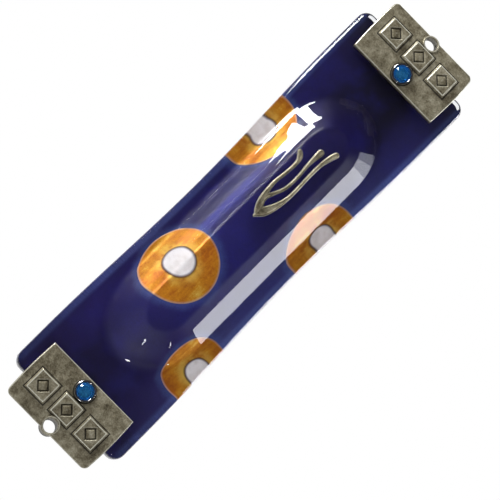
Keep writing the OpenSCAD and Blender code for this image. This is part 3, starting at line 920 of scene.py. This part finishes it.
# ---- Studio ------------------------------------------------------------------
def soft_box(name, azimuth, elevation, distance, size, radiance, colour=(1, 1, 1), upright=False):
    """A lit rectangle facing the case; azimuth 0 is straight in front, positive to the right.

    An upright one stands vertical, so that its sides keep one azimuth all the way up.
    """
    az, el = math.radians(azimuth), math.radians(elevation)
    out = Vector((math.sin(az) * math.cos(el), -math.cos(az) * math.cos(el), math.sin(el)))
    lamp = bpy.data.lights.new(name, "AREA")
    lamp.shape = "RECTANGLE"
    lamp.size, lamp.size_y = size
    lamp.energy = radiance * math.pi * size[0] * size[1]
    lamp.color = colour
    ob = bpy.data.objects.new(name, lamp)
    bpy.context.scene.collection.objects.link(ob)
    ob.location = out * distance
    facing = Vector((-out.x, -out.y, 0)) if upright else -out
    ob.rotation_euler = facing.to_track_quat("-Z", "Y").to_euler()
    return ob


def world():
    """A bright room behind the case and a dark one in front, on white."""
    w = bpy.data.worlds.new("studio")
    bpy.context.scene.world = w
    w.use_nodes = True
    nt = w.node_tree
    nt.nodes.clear()
    out = nt.nodes.new("ShaderNodeOutputWorld")
    coord = nt.nodes.new("ShaderNodeTexCoord")
    sep = nt.nodes.new("ShaderNodeSeparateXYZ")
    ramp = nt.nodes.new("ShaderNodeValToRGB")
    half = nt.nodes.new("ShaderNodeMapRange")
    half.inputs["From Min"].default_value = -1.0
    half.inputs["From Max"].default_value = 1.0
    nt.links.new(coord.outputs["Generated"], sep.inputs[0])
    nt.links.new(sep.outputs["Y"], half.inputs["Value"])
    nt.links.new(half.outputs["Result"], ramp.inputs["Fac"])
    ramp.color_ramp.elements[0].position = 0.6
    ramp.color_ramp.elements[0].color = (0.03, 0.03, 0.035, 1)
    ramp.color_ramp.elements[1].position = 0.8
    ramp.color_ramp.elements[1].color = (0.95, 0.95, 0.95, 1)
    path = nt.nodes.new("ShaderNodeLightPath")

    def background(colour):
        n = nt.nodes.new("ShaderNodeBackground")
        if isinstance(colour, tuple):
            n.inputs["Color"].default_value = (*colour, 1)
        else:
            nt.links.new(colour, n.inputs["Color"])
        return n.outputs[0]

    def choose(fac, a, b):
        n = nt.nodes.new("ShaderNodeMixShader")
        nt.links.new(fac, n.inputs[0])
        nt.links.new(a, n.inputs[1])
        nt.links.new(b, n.inputs[2])
        return n.outputs[0]

    # Mirror-like reflections see a dark room in front; soft surfaces see an even glow.
    bounced = nt.nodes.new("ShaderNodeMath")
    bounced.operation = "GREATER_THAN"
    nt.links.new(path.outputs["Diffuse Depth"], bounced.inputs[0])
    bounced.inputs[1].default_value = 0.5
    light = choose(bounced.outputs[0], background(ramp.outputs["Color"]), background((0.92, 0.92, 0.95)))
    nt.links.new(choose(path.outputs["Is Camera Ray"], light, background((1.0, 1.0, 1.0))), out.inputs[0])


def floor():
    """A plain pale floor under the case."""
    half, z = 2, -0.75
    me = bpy.data.meshes.new("floor")
    corners = [(-half, -half, z), (half, -half, z), (half, half, z), (-half, half, z)]
    me.from_pydata(corners, [], [(0, 1, 2, 3)])
    ob = bpy.data.objects.new("floor", me)
    bpy.context.scene.collection.objects.link(ob)
    s = Shade("floor", Roughness=0.8)
    tone = s.ramp(s.noise(s.where(), 3.0, 2.0), [(0.3, (0.78, 0.78, 0.77)), (0.7, (0.82, 0.82, 0.81))])
    s.link(tone, "Base Color")
    put(ob, s)
    ob.visible_glossy = False


world()
floor()
bpy.context.scene.view_settings.view_transform = "Standard"
soft_box("key_low", -69, 23.1, 0.869, (0.59, 0.169), 30, upright=True)
soft_box("key_high", -86.5, 34.1, 0.967, (0.18, 0.315), 30, upright=True)
soft_box("right_card", 111, 20.1, 0.852, (0.54, 0.254), 7.5, (0.94, 0.95, 1.0), upright=True)
soft_box("right_card_mid", 111, 32.0, 0.943, (0.54, 0.160), 4.5, (0.90, 0.92, 1.0), upright=True)
soft_box("right_card_high", 111, 39.9, 1.044, (0.54, 0.180), 2.2, (0.86, 0.88, 1.0), upright=True)
soft_box("left_slit", -85.6, 15, 0.8, (0.012, 0.05), 5.0)
soft_box("glint_right", 82, -18, 0.8, (0.012, 0.012), 60.0)
soft_box("glint_low", 30, -57, 0.8, (0.10, 0.03), 40.0)

# The camera looks up at the front from a little below, and is rolled so that the case lies aslant.
AZ, EL, ROLL = math.radians(-2.96), math.radians(-15.0), math.radians(44.89)
TARGET, DISTANCE = Vector((0.00471, 0, -0.00115)), 1.1
back = Vector((math.sin(AZ) * math.cos(EL), -math.cos(AZ) * math.cos(EL), math.sin(EL)))
up = (Vector((0, 0, 1)) + back * -back.z).normalized()
right = (-back).cross(up)
cam_x = right * math.cos(ROLL) + up * math.sin(ROLL)
cam_y = -right * math.sin(ROLL) + up * math.cos(ROLL)
lens = bpy.data.cameras.new("camera")
lens.lens, lens.sensor_width = 300.4, 36.0
lens.clip_start, lens.clip_end = 0.05, 20.0
camera = bpy.data.objects.new("camera", lens)
bpy.context.scene.collection.objects.link(camera)
turned = Matrix((cam_x, cam_y, back)).transposed().to_4x4()
camera.matrix_world = Matrix.Translation(TARGET + back * DISTANCE) @ turned
bpy.context.scene.camera = camera
